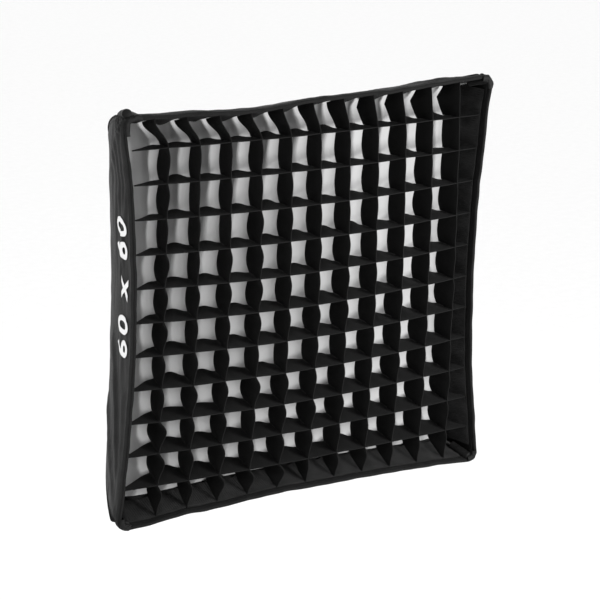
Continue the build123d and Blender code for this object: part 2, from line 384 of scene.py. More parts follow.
def bump(tree, height, strength, distance, before=None):
    node = addNode(tree, "ShaderNodeBump", Strength=strength, Distance=distance)
    tree.links.new(height, node.inputs["Height"])
    if before is not None:
        tree.links.new(before, node.inputs["Normal"])
    return node.outputs["Normal"]


def threadBands(tree, vector, direction):
    node = addNode(tree, "ShaderNodeTexWave", wave_type="BANDS", bands_direction=direction, Scale=0.5,
                   Distortion=0.4)
    tree.links.new(vector, node.inputs["Vector"])
    return node.outputs["Fac"]


def weave(tree, threadsPerMetre):
    # plain weave: two sets of threads, over and under by turns
    vector = mapped(tree, "UV", (threadsPerMetre, threadsPerMetre, threadsPerMetre))
    checker = addNode(tree, "ShaderNodeTexChecker", Scale=1.0, Color1=(1, 1, 1, 1), Color2=(0, 0, 0, 1))
    tree.links.new(vector, checker.inputs["Vector"])
    over = tree.nodes.new("ShaderNodeMix")
    tree.links.new(checker.outputs["Fac"], over.inputs["Factor"])
    tree.links.new(threadBands(tree, vector, "X"), over.inputs["A"])
    tree.links.new(threadBands(tree, vector, "Y"), over.inputs["B"])
    return over.outputs["Result"]


def weaveTone(tree, cloud, threads, cloudShare):
    # a tone of which cloudShare is slow clouding and the rest threads
    return maths(tree, "ADD", maths(tree, "MULTIPLY", cloud, cloudShare),
                 maths(tree, "MULTIPLY", threads, 1 - cloudShare))


def setSockets(shader, **values):
    # constants on the shader's sockets, their names written with _ for each space
    for name, value in values.items():
        shader.inputs[name.replace("_", " ")].default_value = value


def clothMaterial(name, finish):
    material, tree, shader = newMaterial(name)
    cloud = noiseOf(tree, mapped(tree, "UV", (1, 1, 1)), finish["cloudScale"], 4.0)
    threads = weave(tree, finish["threads"])
    tone = weaveTone(tree, cloud, threads, 0.75)
    colour = ramp(tree, tone, [(0.25, finish["dark"]), (0.75, finish["light"])])
    tree.links.new(colour, shader.inputs["Base Color"])
    grain = noiseOf(tree, mapped(tree, "UV", (1, 1, 1)), 900.0, 2.0)
    rough = ramp(tree, grain, [(0.3, finish["rough"] - 0.06), (0.7, finish["rough"] + 0.06)])
    tree.links.new(rough, shader.inputs["Roughness"])
    normal = bump(tree, cloud, 0.25, finish["ripple"])
    normal = bump(tree, threads, finish["weaveBump"], 0.0002, normal)
    tree.links.new(normal, shader.inputs["Normal"])
    setSockets(shader, Sheen_Weight=finish["sheen"], Sheen_Roughness=0.4,
               Specular_IOR_Level=finish["specular"], Metallic=finish.get("metallic", 0.0))
    return material


clothFinishes = {
    "shellNylon": {"dark": 0.0045, "light": 0.0100, "cloudScale": 14.0, "threads": 1800.0, "rough": 0.50,
                   "ripple": 0.0006, "weaveBump": 0.30, "sheen": 0.02, "specular": 0.09},
    "silverLining": {"dark": 0.62, "light": 0.78, "cloudScale": 30.0, "threads": 700.0, "rough": 0.38,
                     "ripple": 0.0012, "weaveBump": 0.5, "sheen": 0.0, "specular": 0.5, "metallic": 0.85},
    "gridNylon": {"dark": 0.0060, "light": 0.0095, "cloudScale": 20.0, "threads": 1600.0, "rough": 0.75,
                  "ripple": 0.0004, "weaveBump": 0.35, "sheen": 0.02, "specular": 0.06},
    "gridEdge": {"dark": 0.007, "light": 0.013, "cloudScale": 60.0, "threads": 1200.0, "rough": 0.7,
                 "ripple": 0.0003, "weaveBump": 0.5, "sheen": 0.02, "specular": 0.06},
    "bindingTape": {"dark": 0.004, "light": 0.010, "cloudScale": 40.0, "threads": 900.0, "rough": 0.68,
                    "ripple": 0.0006, "weaveBump": 0.7, "sheen": 0.02, "specular": 0.08},
    "loopPile": {"dark": 0.010, "light": 0.030, "cloudScale": 55.0, "threads": 1500.0, "rough": 0.88,
                 "ripple": 0.0006, "weaveBump": 0.6, "sheen": 0.03, "specular": 0.05},
    "hookTape": {"dark": 0.010, "light": 0.018, "cloudScale": 45.0, "threads": 700.0, "rough": 0.65,
                 "ripple": 0.0003, "weaveBump": 0.9, "sheen": 0.04, "specular": 0.2},
}


def diffusionMaterial(name, finish):
    # pale cloth with a fine weave and faint clouding
    material, tree, shader = newMaterial(name)
    cloud = noiseOf(tree, mapped(tree, "UV", (1, 1, 1)), 9.0, 3.0)
    threads = weave(tree, finish["threads"])
    colour = ramp(tree, weaveTone(tree, cloud, threads, 0.7), [(0.2, finish["dark"]), (0.8, finish["light"])])
    tree.links.new(colour, shader.inputs["Base Color"])
    normal = bump(tree, threads, 0.2, 0.00015)
    tree.links.new(normal, shader.inputs["Normal"])
    setSockets(shader, Roughness=finish["rough"], Sheen_Weight=0.15, Specular_IOR_Level=finish["specular"])
    return material


def metalMaterial(name, finish):
    material, tree, shader = newMaterial(name)
    stretched = mapped(tree, "Object", finish.get("grainStretch", (1, 1, 1)))
    grain = noiseOf(tree, stretched, finish["grainScale"], 4.0)
    cloud = noiseOf(tree, mapped(tree, "Object", (1, 1, 1)), 60.0, 3.0)
    colour = ramp(tree, cloud, [(0.3, finish["dark"]), (0.7, finish["light"])])
    tree.links.new(colour, shader.inputs["Base Color"])
    rough = ramp(tree, grain, [(0.3, finish["rough"] - 0.08), (0.7, finish["rough"] + 0.08)])
    tree.links.new(rough, shader.inputs["Roughness"])
    tree.links.new(bump(tree, grain, finish["bump"], 0.0002), shader.inputs["Normal"])
    setSockets(shader, Metallic=finish["metallic"], Coat_Weight=finish.get("coat", 0.0))
    return material


metalFinishes = {
    "castingBlack": {"dark": 0.016, "light": 0.026, "rough": 0.45, "metallic": 0.0, "grainScale": 900.0,
                     "bump": 0.35, "coat": 0.15},
    "platedInsert": {"dark": 0.52, "light": 0.66, "rough": 0.28, "metallic": 1.0, "grainScale": 220.0,
                     "grainStretch": (1, 14, 1), "bump": 0.12},
    "zincSteel": {"dark": 0.42, "light": 0.58, "rough": 0.36, "metallic": 1.0, "grainScale": 500.0,
                  "bump": 0.15},
    "springRod": {"dark": 0.36, "light": 0.50, "rough": 0.30, "metallic": 1.0, "grainScale": 160.0,
                  "bump": 0.1},
    "knobPlastic": {"dark": 0.012, "light": 0.020, "rough": 0.5, "metallic": 0.0, "grainScale": 1400.0,
                    "bump": 0.5},
}


def plainPaint(name, shade, rough):
    # screen ink or a studio floor: near plain, with a little grain
    material, tree, shader = newMaterial(name)
    grain = noiseOf(tree, mapped(tree, "Object", (1, 1, 1)), 40.0, 4.0)
    colour = ramp(tree, grain, [(0.3, shade * 0.97), (0.7, shade)])
    tree.links.new(colour, shader.inputs["Base Color"])
    setSockets(shader, Roughness=rough)
    return material


cloths = {name: clothMaterial(name, finish) for name, finish in clothFinishes.items()}
metals = {name: metalMaterial(name, finish) for name, finish in metalFinishes.items()}
diffusion = diffusionMaterial("diffusionCloth", {"dark": 0.37, "light": 0.45, "threads": 1500.0,
                                                 "rough": 0.5, "specular": 0.35})
printInk = plainPaint("printInk", 0.85, 0.5)
print("materials made")

# ---- CAD nodes that keep their shape and get a finish

nodeFinish = {
    "castingBlack": ["speed_ring"],
    "platedInsert": ["bayonet_insert"],
    "zincSteel": ["retaining_clips", "clip_screws", "lock_screw_left", "lock_screw_right"],
    "knobPlastic": ["lock_knob_left", "lock_knob_right", "baffle_clips"],
    "springRod": [],
}
for corner in cornerNames:
    nodeFinish["springRod"].append("rod_" + corner)
    nodeFinish["zincSteel"].append("rod_ferrule_" + corner)
    nodeFinish["knobPlastic"].append("rod_tip_" + corner)
for finish, names in nodeFinish.items():
    for name in names:
        setMaterials(nodes[name], metals[finish])

# ---- side panels

panelCloth = {
    "columns": 150,
    "rows": 120,
    "outset": 0.0012,         # outer face, outside the corner arc
    "thickness": 0.0009,
    "frontDepth": 0.3445,
    "liningFront": 0.2770,    # the silver lining ends here
    "cornerTuck": 0.0055,     # the corner is drawn in this much where the rod pocket ends
    "tuckReach": 0.030,
    "cloud": 0.0016,          # slow unevenness
    "crinkle": 0.0007,        # fine wrinkles running along the hem
    "hemPucker": 0.0009,
    "belly": {"right": 0.004, "left": 0.009, "top": 0.0, "bottom": 0.002},   # outward, well behind the hem
}
panelStart = depthAngle(boxShape["rearDepth"], arcRadius)
panelStop = depthAngle(panelCloth["frontDepth"], arcRadius)
panelLength = arcRadius * (panelStart - panelStop)
# folds on each panel: from (along, distance behind the hem) to (the same), width, height
# along runs from -1 to 1: up on the right panel, down on the left one
panelFolds = {
    "left": [
        ((-0.95, 0.010), (-0.34, 0.026), 0.0045, 0.0017), ((-0.93, 0.024), (-0.22, 0.040), 0.0050, 0.0020),
        ((-0.90, 0.040), (-0.42, 0.050), 0.0048, 0.0022), ((-0.92, 0.054), (-0.30, 0.068), 0.0060, 0.0022),
        ((-0.86, 0.074), (-0.50, 0.086), 0.0060, 0.0018), ((-0.96, 0.016), (-0.70, 0.090), 0.0070, 0.0022),
        ((-0.62, 0.014), (-0.10, 0.060), 0.0050, 0.0012), ((0.16, 0.085), (0.86, 0.022), 0.0075, 0.0038),
        ((0.38, 0.030), (0.93, 0.012), 0.0060, 0.0016), ((0.55, 0.120), (0.95, 0.030), 0.0100, 0.0032),
        ((-0.12, 0.018), (0.25, 0.030), 0.0060, 0.0010), ((0.05, 0.050), (0.42, 0.036), 0.0070, 0.0010),
    ],
}


def randomFolds(seed):
    source = random.Random(seed)
    folds = []
    for end in (-1, 1):
        for k in range(4):
            start = (end * (0.95 - 0.04 * k), 0.012 + 0.018 * k)
            stop = (end * source.uniform(0.15, 0.6), start[1] + source.uniform(0.01, 0.09))
            folds.append((start, stop, source.uniform(0.006, 0.010), source.uniform(0.0015, 0.0032)))
    return folds


for seed, side in enumerate(sideNames):
    panelFolds.setdefault(side, randomFolds(seed + 5))


def foldHeight(folds, along, behind, halfLength):
    # height of the folds at a point, along from -1 to 1, behind in metres behind the hem
    height = 0.0
    behind += 0.004 * rand(15, along * 5, behind * 14)
    point = Vector((along * halfLength, behind))
    for start, stop, width, rise in folds:
        a = Vector((start[0] * halfLength, start[1]))
        b = Vector((stop[0] * halfLength, stop[1]))
        line = b - a
        t = (point - a).dot(line) / line.length_squared
        if -0.2 < t < 1.2:
            off = (point - a - line * t).length
            if off < 4 * width:
                fade = smooth((t + 0.15) / 0.3) * smooth((1.15 - t) / 0.5)
                height += rise * fade * math.exp(-((off / width) ** 2))
    return height


def panelRelief(side, along, depth):
    seed = 20 + sideNames.index(side)
    behind = panelCloth["frontDepth"] - depth
    half = boxShape["frontHalf"]
    relief = foldHeight(panelFolds[side], along, behind, half)
    cloud = rand(seed, along * 4, behind * 11) + 0.5 * rand(seed + 3, along * 9, behind * 26)
    relief += panelCloth["cloud"] * (0.6 + cloud) * smooth(behind / 0.08)
    relief += panelCloth["crinkle"] * (1 + rand(seed + 6, along * 7, behind * 130)) * smooth(behind / 0.01)
    pucker = 0.5 + 0.5 * math.sin(along * half * math.tau / 0.019 + 3 * rand(seed, along * 6))
    relief += panelCloth["hemPucker"] * pucker * math.exp(-behind / 0.012)
    belly = panelCloth["belly"][side] * smooth(behind / 0.11) * smooth((0.30 - behind) / 0.16)
    relief += belly * (1 - along ** 2)
    edge = smooth((1 - abs(along)) / 0.05) * smooth(behind / 0.004)
    rear = smooth((depth - boxShape["rearDepth"]) / 0.03)
    return relief * edge * rear


def cornerTuck(depth):
    # how much the front corners are drawn in towards the axis at a depth
    return panelCloth["cornerTuck"] * smooth(1 - (panelCloth["frontDepth"] - depth) / panelCloth["tuckReach"])


def panelPoint(side, u, v, lift=0.0):
    # u from -1 to 1 along the side, v from 0 at the rear edge to 1 at the hem
    angle = panelStart + (panelStop - panelStart) * v
    depth = arcCentreDepth - arcRadius * math.sin(angle)
    outset = panelCloth["outset"] + lift
    reach = cornerHalf(depth, -outset) - cornerTuck(depth)
    along = u * reach
    out = wallOut(side, depth, along, -outset) - cornerTuck(depth) * abs(u) ** 10
    relief = panelRelief(side, u, depth)
    # the relief stands along the panel's normal in the plane of its depth
    return onSide(side, out + relief * math.cos(angle), depth - relief * math.sin(angle), along)


def panelPointAt(side, along, depth, lift):
    # a point of the panel's outer face at a depth and a distance along the side
    v = (depthAngle(depth, arcRadius) - panelStart) / (panelStop - panelStart)
    reach = cornerHalf(depth, -panelCloth["outset"]) - cornerTuck(depth)
    return panelPoint(side, along / reach, v, lift)


for side in sideNames:
    panel = layCloth("panel_" + side, panelCloth["columns"], panelCloth["rows"],
                     lambda u, v: panelPoint(side, 2 * u - 1, v), 2 * boxShape["frontHalf"], panelLength)
    faceOut(panel, None)
    setMaterials(panel, cloths["shellNylon"], cloths["silverLining"])
    thicken(panel, panelCloth["thickness"], inner=1)
    for face in panel.data.polygons:
        # the lip in front of the diffuser isn't silvered
        if -face.center.y > panelCloth["liningFront"]:
            face.material_index = 0
    smoothFaces(panel)
    place(panel, "softbox", "black_nylon", "shell_" + side)
print("side panels made")

# ---- hem: a folded tape sewn round the front edge

hemTape = {
    "half": 0.2968,           # axis to the middle of the tape at an unchamfered corner
    "chamfer": 0.010,
    "bend": 0.006,            # softness of the two bends at each corner
    "thick": 0.0050,
    "front": 0.3503,
    "rear": 0.3390,
    "stations": 260,
    "ring": 18,
    "stitchDepth": 0.3420,
    "roundness": 0.45,        # exponent of the tape's rounded flat section
    "length": 0.6,
    "girth": 0.032,
}
hemMiddle = (hemTape["front"] + hemTape["rear"]) / 2
hemDeep = (hemTape["front"] - hemTape["rear"]) / 2
hemStitch = {"width": 0.0007, "height": 0.0006, "length": 0.0029, "pitch": 0.0042}


def softMin(a, b, softness):
    h = min(max(0.5 + 0.5 * (b - a) / softness, 0.0), 1.0)
    return b + (a - b) * h - softness * h * (1 - h)


def hemLine(side, along):
    # distance from the axis of the tape's middle
    half = hemTape["half"]
    bowed = half - boxShape["bow"][side] * half / boxShape["bowHalf"] * (1 - (along / half) ** 2)
    bowed += frontWave(side, along)
    return softMin(bowed, 2 * half - hemTape["chamfer"] - abs(along), hemTape["bend"])


def hemPoint(side, t, section):
    # t from -1 to 1 along the side, section an angle round the tape's flat section
    reach = hemTape["half"] - hemTape["chamfer"] / 2
    along = t * reach
    step = 0.0005
    here = hemLine(side, along)
    slope = (hemLine(side, along + step) - hemLine(side, along - step)) / (2 * step)
    if abs(t) > 0.999:
        slope = -math.copysign(1.0, t)
    normal = Vector((1.0, -slope)).normalized()
    seed = 40 + sideNames.index(side)
    thick = hemTape["thick"] * (1 + 0.16 * rand(seed, along * 40)) / 2
    c, s = math.cos(section), math.sin(section)
    across = math.copysign(abs(c) ** hemTape["roundness"], c) * thick
    back = math.copysign(abs(s) ** hemTape["roundness"], s) * hemDeep
    # a shallow channel where the tape is stitched through
    channel = math.exp(-(((hemMiddle - back) - hemTape["stitchDepth"]) / 0.0012) ** 2)
    across *= 1 - 0.18 * channel
    depth = hemMiddle - back + 0.0008 * rand(seed + 5, along * 30) * (1 - abs(t) ** 8)
    return onSide(side, here + normal.x * across, depth, along + normal.y * across)


def hemStitches(side, angle):
    # a row of stitches at an angle round the tape's section
    path, normals = [], []
    for k in range(hemTape["stations"] + 1):
        t = 2 * k / hemTape["stations"] - 1
        p = hemPoint(side, t, angle)
        path.append(p)
        normals.append((p - hemPoint(side, t, math.pi - angle)).normalized())
    row = stitchRow("hem_stitch", path, normals, hemStitch)
    setMaterials(row, cloths["gridEdge"])
    return row


stitchLean = math.asin(((hemMiddle - hemTape["stitchDepth"]) / hemDeep) ** (1 / hemTape["roundness"]))
for side in sideNames:
    hem = makeTube("hem_tape_" + side, hemTape["stations"], hemTape["ring"],
                   lambda u, v: hemPoint(side, 2 * u - 1, v * math.tau), hemTape["length"], hemTape["girth"])
    setMaterials(hem, cloths["bindingTape"])
    smoothFaces(hem)
    joinInto(hem, [hemStitches(side, stitchLean), hemStitches(side, math.pi - stitchLean)])
    place(hem, "softbox", "binding_tape", "hem_" + side)
print("hem made")

# ---- printed size mark on the left panel, reading upwards

sizeMark = {"text": "60 x 60", "height": 0.041, "bold": 0.0011, "middle": 0.040, "behind": 0.022,
            "lift": 0.0012, "thickness": 0.0002, "cuts": 3, "fontScale": 1.32, "spacing": 1.2}


def makeSizeMark():
    deselectAll()
    bpy.ops.object.text_add(location=(0, 0, 0))
    text = bpy.context.object
    text.data.body = sizeMark["text"]
    text.data.size = sizeMark["height"] * sizeMark["fontScale"]
    text.data.space_character = sizeMark["spacing"]
    text.data.offset = sizeMark["bold"]
    text.data.align_x = "CENTER"
    text.data.resolution_u = 6
    bpy.ops.object.convert(target="MESH")
    mark = bpy.context.object
    mark.name = mark.data.name = "size_mark"
    editAll(mark)
    bpy.ops.mesh.quads_convert_to_tris()
    bpy.ops.mesh.subdivide(number_cuts=sizeMark["cuts"])
    endEdit()
    for vertex in mark.data.vertices:
        height, behind = vertex.co.x + sizeMark["middle"], sizeMark["behind"] + vertex.co.y
        v = 1 - behind / panelLength
        half = cornerHalf(panelCloth["frontDepth"] - behind)
        vertex.co = panelPoint("left", -height / half, v, sizeMark["lift"])
    faceOut(mark, None)
    setMaterials(mark, printInk)
    thicken(mark, sizeMark["thickness"], offset=1.0)
    return mark


place(makeSizeMark(), "softbox", "black_nylon")

# ---- corners: a tape inside each seam, a cord outside it, a pocket for the rod's end and a cap on the hem

cornerSigns = {"top_right": (1, 1), "bottom_right": (1, -1), "bottom_left": (-1, -1), "top_left": (-1, 1)}
rodInset = 0.011              # a rod's centre lies this far inside the corner arc
rodRadius = arcRadius - rodInset


def cornerFold(corner, depth, across, inset, softness):
    # a point of a band folded into a corner; across runs from one wall to the other through the corner
    signX, signZ = cornerSigns[corner]
    wallZ, wallX = corner.split("_")
    root = math.sqrt(across * across + softness * softness)
    fromX, fromZ = 0.5 * (root - across), 0.5 * (root + across)
    half = cornerHalf(depth)
    tuck = seamTape["tuckShare"] * cornerTuck(depth)
    outX = wallOut(wallX, depth, half - fromZ) - inset - fromX - tuck
    outZ = wallOut(wallZ, depth, half - fromX) - inset - fromZ - tuck
    return spread(Vector((signX * outX, -depth, signZ * outZ)))


seamTape = {"rear": 0.027, "front": 0.290, "half": 0.011, "inset": 0.0016, "softness": 0.0030,
            "thickness": 0.0009, "rows": 120, "columns": 14, "tuckShare": 0.4}
seamCord = {"radius": 0.0012, "rear": 0.0215, "front": 0.335, "proud": 0.0004, "stations": 150, "ring": 10,
            "girth": 0.008}
seamRows = {"rear": 0.0225, "front": 0.330, "fromSeam": 0.005, "lift": 0.0003, "stations": 180}
seamStitch = {"width": 0.0007, "height": 0.0006, "length": 0.0032, "pitch": 0.0048}


def seamDepth(v, low, high):
    start, stop = depthAngle(low, arcRadius), depthAngle(high, arcRadius)
    return arcCentreDepth - arcRadius * math.sin(start + (stop - start) * v)


def makeSeam(corner):
    seed = 100 + cornerNames.index(corner)
    length = arcRadius * (depthAngle(seamTape["rear"], arcRadius) - depthAngle(seamTape["front"], arcRadius))

    def tapeSpot(u, v):
        depth = seamDepth(v, seamTape["rear"], seamTape["front"])
        across = (2 * u - 1) * seamTape["half"] * (1 + 0.04 * rand(seed, v * 30))
        inset = seamTape["inset"] + 0.0005 * rand(seed + 1, v * 60, u * 3)
        return cornerFold(corner, depth, across, inset, seamTape["softness"])

    tape = layCloth("seam_tape_band_" + corner, seamTape["columns"], seamTape["rows"], tapeSpot,
                    2 * seamTape["half"], length)
    faceOut(tape, None)
    setMaterials(tape, cloths["bindingTape"])
    thicken(tape, seamTape["thickness"])
    smoothFaces(tape, 60)
    place(tape, "softbox", "binding_tape", "seam_tape_" + corner)

    signX, signZ = cornerSigns[corner]
    wallZ, wallX = corner.split("_")

    def cordSpot(u, v):
        depth = seamDepth(u, seamCord["rear"], seamCord["front"])
        out = cornerHalf(depth, -panelCloth["outset"]) - 2 * cornerTuck(depth) + seamCord["proud"]
        middle = spread(Vector((signX * out, -depth, signZ * out)))
        a = v * math.tau
        outward = Vector((signX, 0, signZ)).normalized()
        side = Vector((signX, 0, -signZ)).normalized()
        size = seamCord["radius"] * (1 + 0.12 * rand(seed + 2, depth * 200))
        return middle + (outward * math.cos(a) + side * math.sin(a)) * size

    cord = makeTube("seam_cord_" + corner, seamCord["stations"], seamCord["ring"], cordSpot, length,
                    seamCord["girth"])
    setMaterials(cord, cloths["bindingTape"])
    smoothFaces(cord, 70)
    place(cord, "softbox", "binding_tape")
    # one row of stitches on each panel beside the seam
    for name, wall in (("seam_stitch_a", wallZ), ("seam_stitch_b", wallX)):
        sign = {"right": signZ, "left": -signZ, "top": -signX, "bottom": signX}[wall]
        normal = Vector((signX, 0, 0)) if wall == wallX else Vector((0, 0, signZ))
        path = []
        for k in range(seamRows["stations"] + 1):
            depth = seamDepth(k / seamRows["stations"], seamRows["rear"], seamRows["front"])
            along = cornerHalf(depth) - seamRows["fromSeam"]
            path.append(panelPointAt(wall, sign * along, depth, seamRows["lift"]))
        row = stitchRow(name, path, [normal] * len(path), seamStitch)
        setMaterials(row, cloths["gridEdge"])
        joinInto(cord, [row])


pocket = {"radius": 0.0065, "length": 0.034, "girth": 0.041, "closedEnd": 0.006, "tipDepth": 0.3455,
          "nose": 0.45, "thickness": 0.0007, "crumple": 0.0008, "columns": 40, "rows": 28}
cap = {"softness": 0.012, "inner": 0.0030, "outer": 0.0032, "front": 0.3510, "innerDepth": 0.344,
       "thickness": 0.0007, "columns": 60, "rows": 48}
# how far each cap reaches along the hem and back over the panel, and how crumpled it is
capShapes = {"top_left": (0.024, 0.030, 0.0018), "top_right": (0.016, 0.014, 0.0020),
             "bottom_right": (0.013, 0.012, 0.0010), "bottom_left": (0.015, 0.016, 0.0018)}


def makePocket(corner):
    # a cloth sleeve on the rod's end, closed in front and open to the rear
    signX, signZ = cornerSigns[corner]
    seed = 120 + cornerNames.index(corner)
    tip = depthAngle(pocket["tipDepth"], rodRadius)

    def spot(u, v):
        run = u * (pocket["length"] + pocket["radius"])
        angle = tip + max(run - pocket["radius"], 0.0) / rodRadius
        r = arcCentreR + rodRadius * math.cos(angle)
        depth = arcCentreDepth - rodRadius * math.sin(angle)
        outward = Vector((signX / root2, 0, signZ / root2))
        forward = (outward * math.sin(angle) + Vector((0, -math.cos(angle), 0))).normalized()
        middle = outward * r + Vector((0, -depth, 0))
        side = Vector((signX / root2, 0, -signZ / root2))
        up = forward.cross(side).normalized()
        a = v * math.tau
        size = pocket["radius"]
        if run < pocket["radius"]:
            share = run / pocket["radius"]
            size *= math.sqrt(max(1 - (1 - share) ** 2, 0.0))
            middle += forward * pocket["radius"] * pocket["nose"] * (1 - share)
        size *= 1 + 0.05 * smooth((u - 0.8) / 0.2)
        wrinkle = rand(seed, math.cos(a) * 2.2 + u * 9, math.sin(a) * 2.2)
        size += pocket["crumple"] * wrinkle * smooth(u / 0.2)
        return middle + (side * math.cos(a) + up * math.sin(a)) * size

    sleeve = layCloth("pocket_sleeve_" + corner, pocket["columns"], pocket["rows"], spot,
                      pocket["length"], pocket["girth"])
    closeSeam(sleeve, False)
    centre = sum((v.co for v in sleeve.data.vertices), Vector()) / len(sleeve.data.vertices)
    faceOut(sleeve, centre)
    setMaterials(sleeve, cloths["shellNylon"])
    thicken(sleeve, pocket["thickness"])
    smoothFaces(sleeve, 70)
    place(sleeve, "softbox", "black_nylon", "corner_pocket_" + corner)


def makeCap(corner):
    # a patch sewn over the hem's corner, from its inside over the front and back along the outside
    signX, signZ = cornerSigns[corner]
    wallZ, wallX = corner.split("_")
    seed = 140 + cornerNames.index(corner)
    half = hemTape["half"]
    capReach, capBack, crumple = capShapes[corner]
    legs = (cap["front"] - cap["innerDepth"], cap["inner"] + cap["outer"], capBack)
    total = sum(legs)

    def spot(u, v):
        t = (2 * u - 1) * capReach
        root = math.sqrt(t * t + cap["softness"] ** 2)
        fromX, fromZ = 0.5 * (root - t), 0.5 * (root + t)
        run = v * total
        if run < legs[0]:
            out, depth = -cap["inner"], cap["innerDepth"] + run
        elif run < legs[0] + legs[1]:
            turn = (run - legs[0]) / legs[1] * math.pi
            out = (cap["outer"] - cap["inner"]) / 2 - (legs[1] / 2) * math.cos(turn)
            depth = cap["front"] + 0.0012 * math.sin(turn)
        else:
            out, depth = cap["outer"], cap["front"] - (run - legs[0] - legs[1])
        wrinkle = rand(seed, t * 150, run * 90) + 0.6 * rand(seed + 3, t * 330, run * 240)
        if run > legs[0]:
            out += crumple * (0.5 + wrinkle) * smooth((1 - abs(2 * u - 1)) / 0.25) * smooth((1 - v) / 0.15)
        outX = min(wallOut(wallX, boxShape["frontDepth"], half - fromZ), half) - fromX
        outZ = min(wallOut(wallZ, boxShape["frontDepth"], half - fromX), half) - fromZ
        normal = Vector((fromZ, 0, fromX)).normalized()
        depth += 0.3 * crumple * rand(seed + 5, t * 120, run * 60) * smooth((1 - v) / 0.3)
        return spread(Vector((signX * (outX + normal.x * out), -depth, signZ * (outZ + normal.z * out))))

    patch = layCloth("corner_cap_" + corner, cap["columns"], cap["rows"], spot, 2 * capReach, total)
    # a point inside the fold, for the patch's outer faces to look away from
    centre = spread(Vector((signX * (half - 0.004), -0.340, signZ * (half - 0.004))))
    faceOut(patch, centre)
    setMaterials(patch, cloths["shellNylon"])
    thicken(patch, cap["thickness"], offset=1.0)
    smoothFaces(patch, 60)
    place(patch, "softbox", "black_nylon")


for corner in cornerNames:
    makeSeam(corner)
    makePocket(corner)
    makeCap(corner)
print("corners made")

# ---- rear: the collar's four flaps, and cloth corners from the ring to the panels

collar = {"sweep": 62.0, "wall": 0.0858, "lip": 0.0785, "front": 0.0205, "rear": 0.0014, "bend": 0.003,
          "width": 0.0928, "thickness": 0.0009, "notch": 0.0095, "notchDepth": 0.0142, "notchEnd": 0.006,
          "columns": 64, "rows": 22}


def makeCollarFlap(side):
    turn = {"right": 0.0, "bottom": 90.0, "left": 180.0, "top": 270.0}[side]
    seed = 160 + sideNames.index(side)
    wallRun = collar["front"] - collar["rear"] - collar["bend"]
    bendRun = collar["bend"] * math.pi / 2
    lipRun = collar["wall"] - collar["lip"] - collar["bend"]
    total = wallRun + bendRun + lipRun

    def spot(u, v):
        run = v * total
        if run < wallRun:
            r, depth = collar["wall"], collar["front"] - run
        elif run < wallRun + bendRun:
            a = (run - wallRun) / collar["bend"]
            r = collar["wall"] - collar["bend"] * (1 - math.cos(a))
            depth = collar["rear"] + collar["bend"] * (1 - math.sin(a))
        else:
            r, depth = collar["wall"] - collar["bend"] - (run - wallRun - bendRun), collar["rear"]
        free = smooth(v * 2)
        r += 0.0006 * (1 + rand(seed, u * 9, v * 2)) * (1 - abs(2 * v - 1))
        depth -= 0.0005 * (1 + rand(seed + 1, u * 14)) * free
        angle = math.radians(turn + (u - 0.5) * collar["sweep"])
        return Vector((r * math.cos(angle), -depth, -r * math.sin(angle)))

    flap = layCloth("collar_cloth_" + side, collar["columns"], collar["rows"], spot, collar["width"], total)
    faceOut(flap, Vector((0, -0.015, 0)))
    if side in ("left", "right"):
        # a notch for the lock screw
        deleteFaces(flap, lambda face: abs(face.center.z) < collar["notch"]
                    and -face.center.y < collar["notchDepth"])
    setMaterials(flap, cloths["shellNylon"])
    thicken(flap, collar["thickness"], offset=0.0)
    smoothFaces(flap, 60)
    place(flap, "softbox", "black_nylon", "collar_flap_" + side)


gusset = {"inner": 0.1045, "half": 0.0885, "depth": 0.0196, "thickness": 0.0008, "sag": 0.0010,
          "endWidth": 0.0012, "pattern": (0.060, 0.022), "flat": (0.056, 0.022), "columns": 48, "rows": 14}


def makeGusset(corner):
    signX, signZ = cornerSigns[corner]
    low = math.acos(gusset["half"] / (gusset["inner"] + gusset["endWidth"]))
    high = math.pi / 2 - low
    seed = 180 + cornerNames.index(corner)

    def spot(u, v):
        angle = low + (high - low) * u
        outer = gusset["half"] / max(math.cos(angle), math.sin(angle))
        r = gusset["inner"] + (outer - gusset["inner"]) * v
        middle = math.sin(math.pi * v) * math.sin(math.pi * u)
        depth = gusset["depth"] + gusset["sag"] * middle + 0.0006 * rand(seed, u * 7, v * 4) * middle
        return Vector((signX * r * math.cos(angle), -depth, signZ * r * math.sin(angle)))

    cloth = layCloth("gusset_" + corner, gusset["columns"], gusset["rows"], spot, *gusset["pattern"])
    faceOut(cloth, Vector((0, -0.2, 0)))
    setMaterials(cloth, cloths["shellNylon"], cloths["silverLining"])
    thicken(cloth, gusset["thickness"], inner=1)
    smoothFaces(cloth, 60)
    place(cloth, "softbox", "black_nylon", "rear_gussets")


for side in sideNames:
    makeCollarFlap(side)
for corner in cornerNames:
    makeGusset(corner)
print("rear cloth made")

# ---- inner baffle, slung from the rods by four straps

baffle = {"half": 0.150, "bow": 0.008, "depth": 0.160, "thickness": 0.0005, "sag": 0.004,
          "columns": 80, "rows": 80}


def bafflePoint(u, v):
    p, q = 2 * u - 1, 2 * v - 1
    x = p * (baffle["half"] - baffle["bow"] * (1 - q * q))
    z = q * (baffle["half"] - baffle["bow"] * (1 - p * p))
    # soft folds from each corner towards the middle, and a slow belly
    fold = 0.0016 * math.sin(26 * math.atan2(abs(x), abs(z) + 1e-6)) * smooth(math.hypot(p, q) - 0.45)
    belly = baffle["sag"] * (1 - p * p) * (1 - q * q)
    return Vector((x, -(baffle["depth"] + fold + belly + 0.0012 * rand(190, x * 14, z * 12)), z))


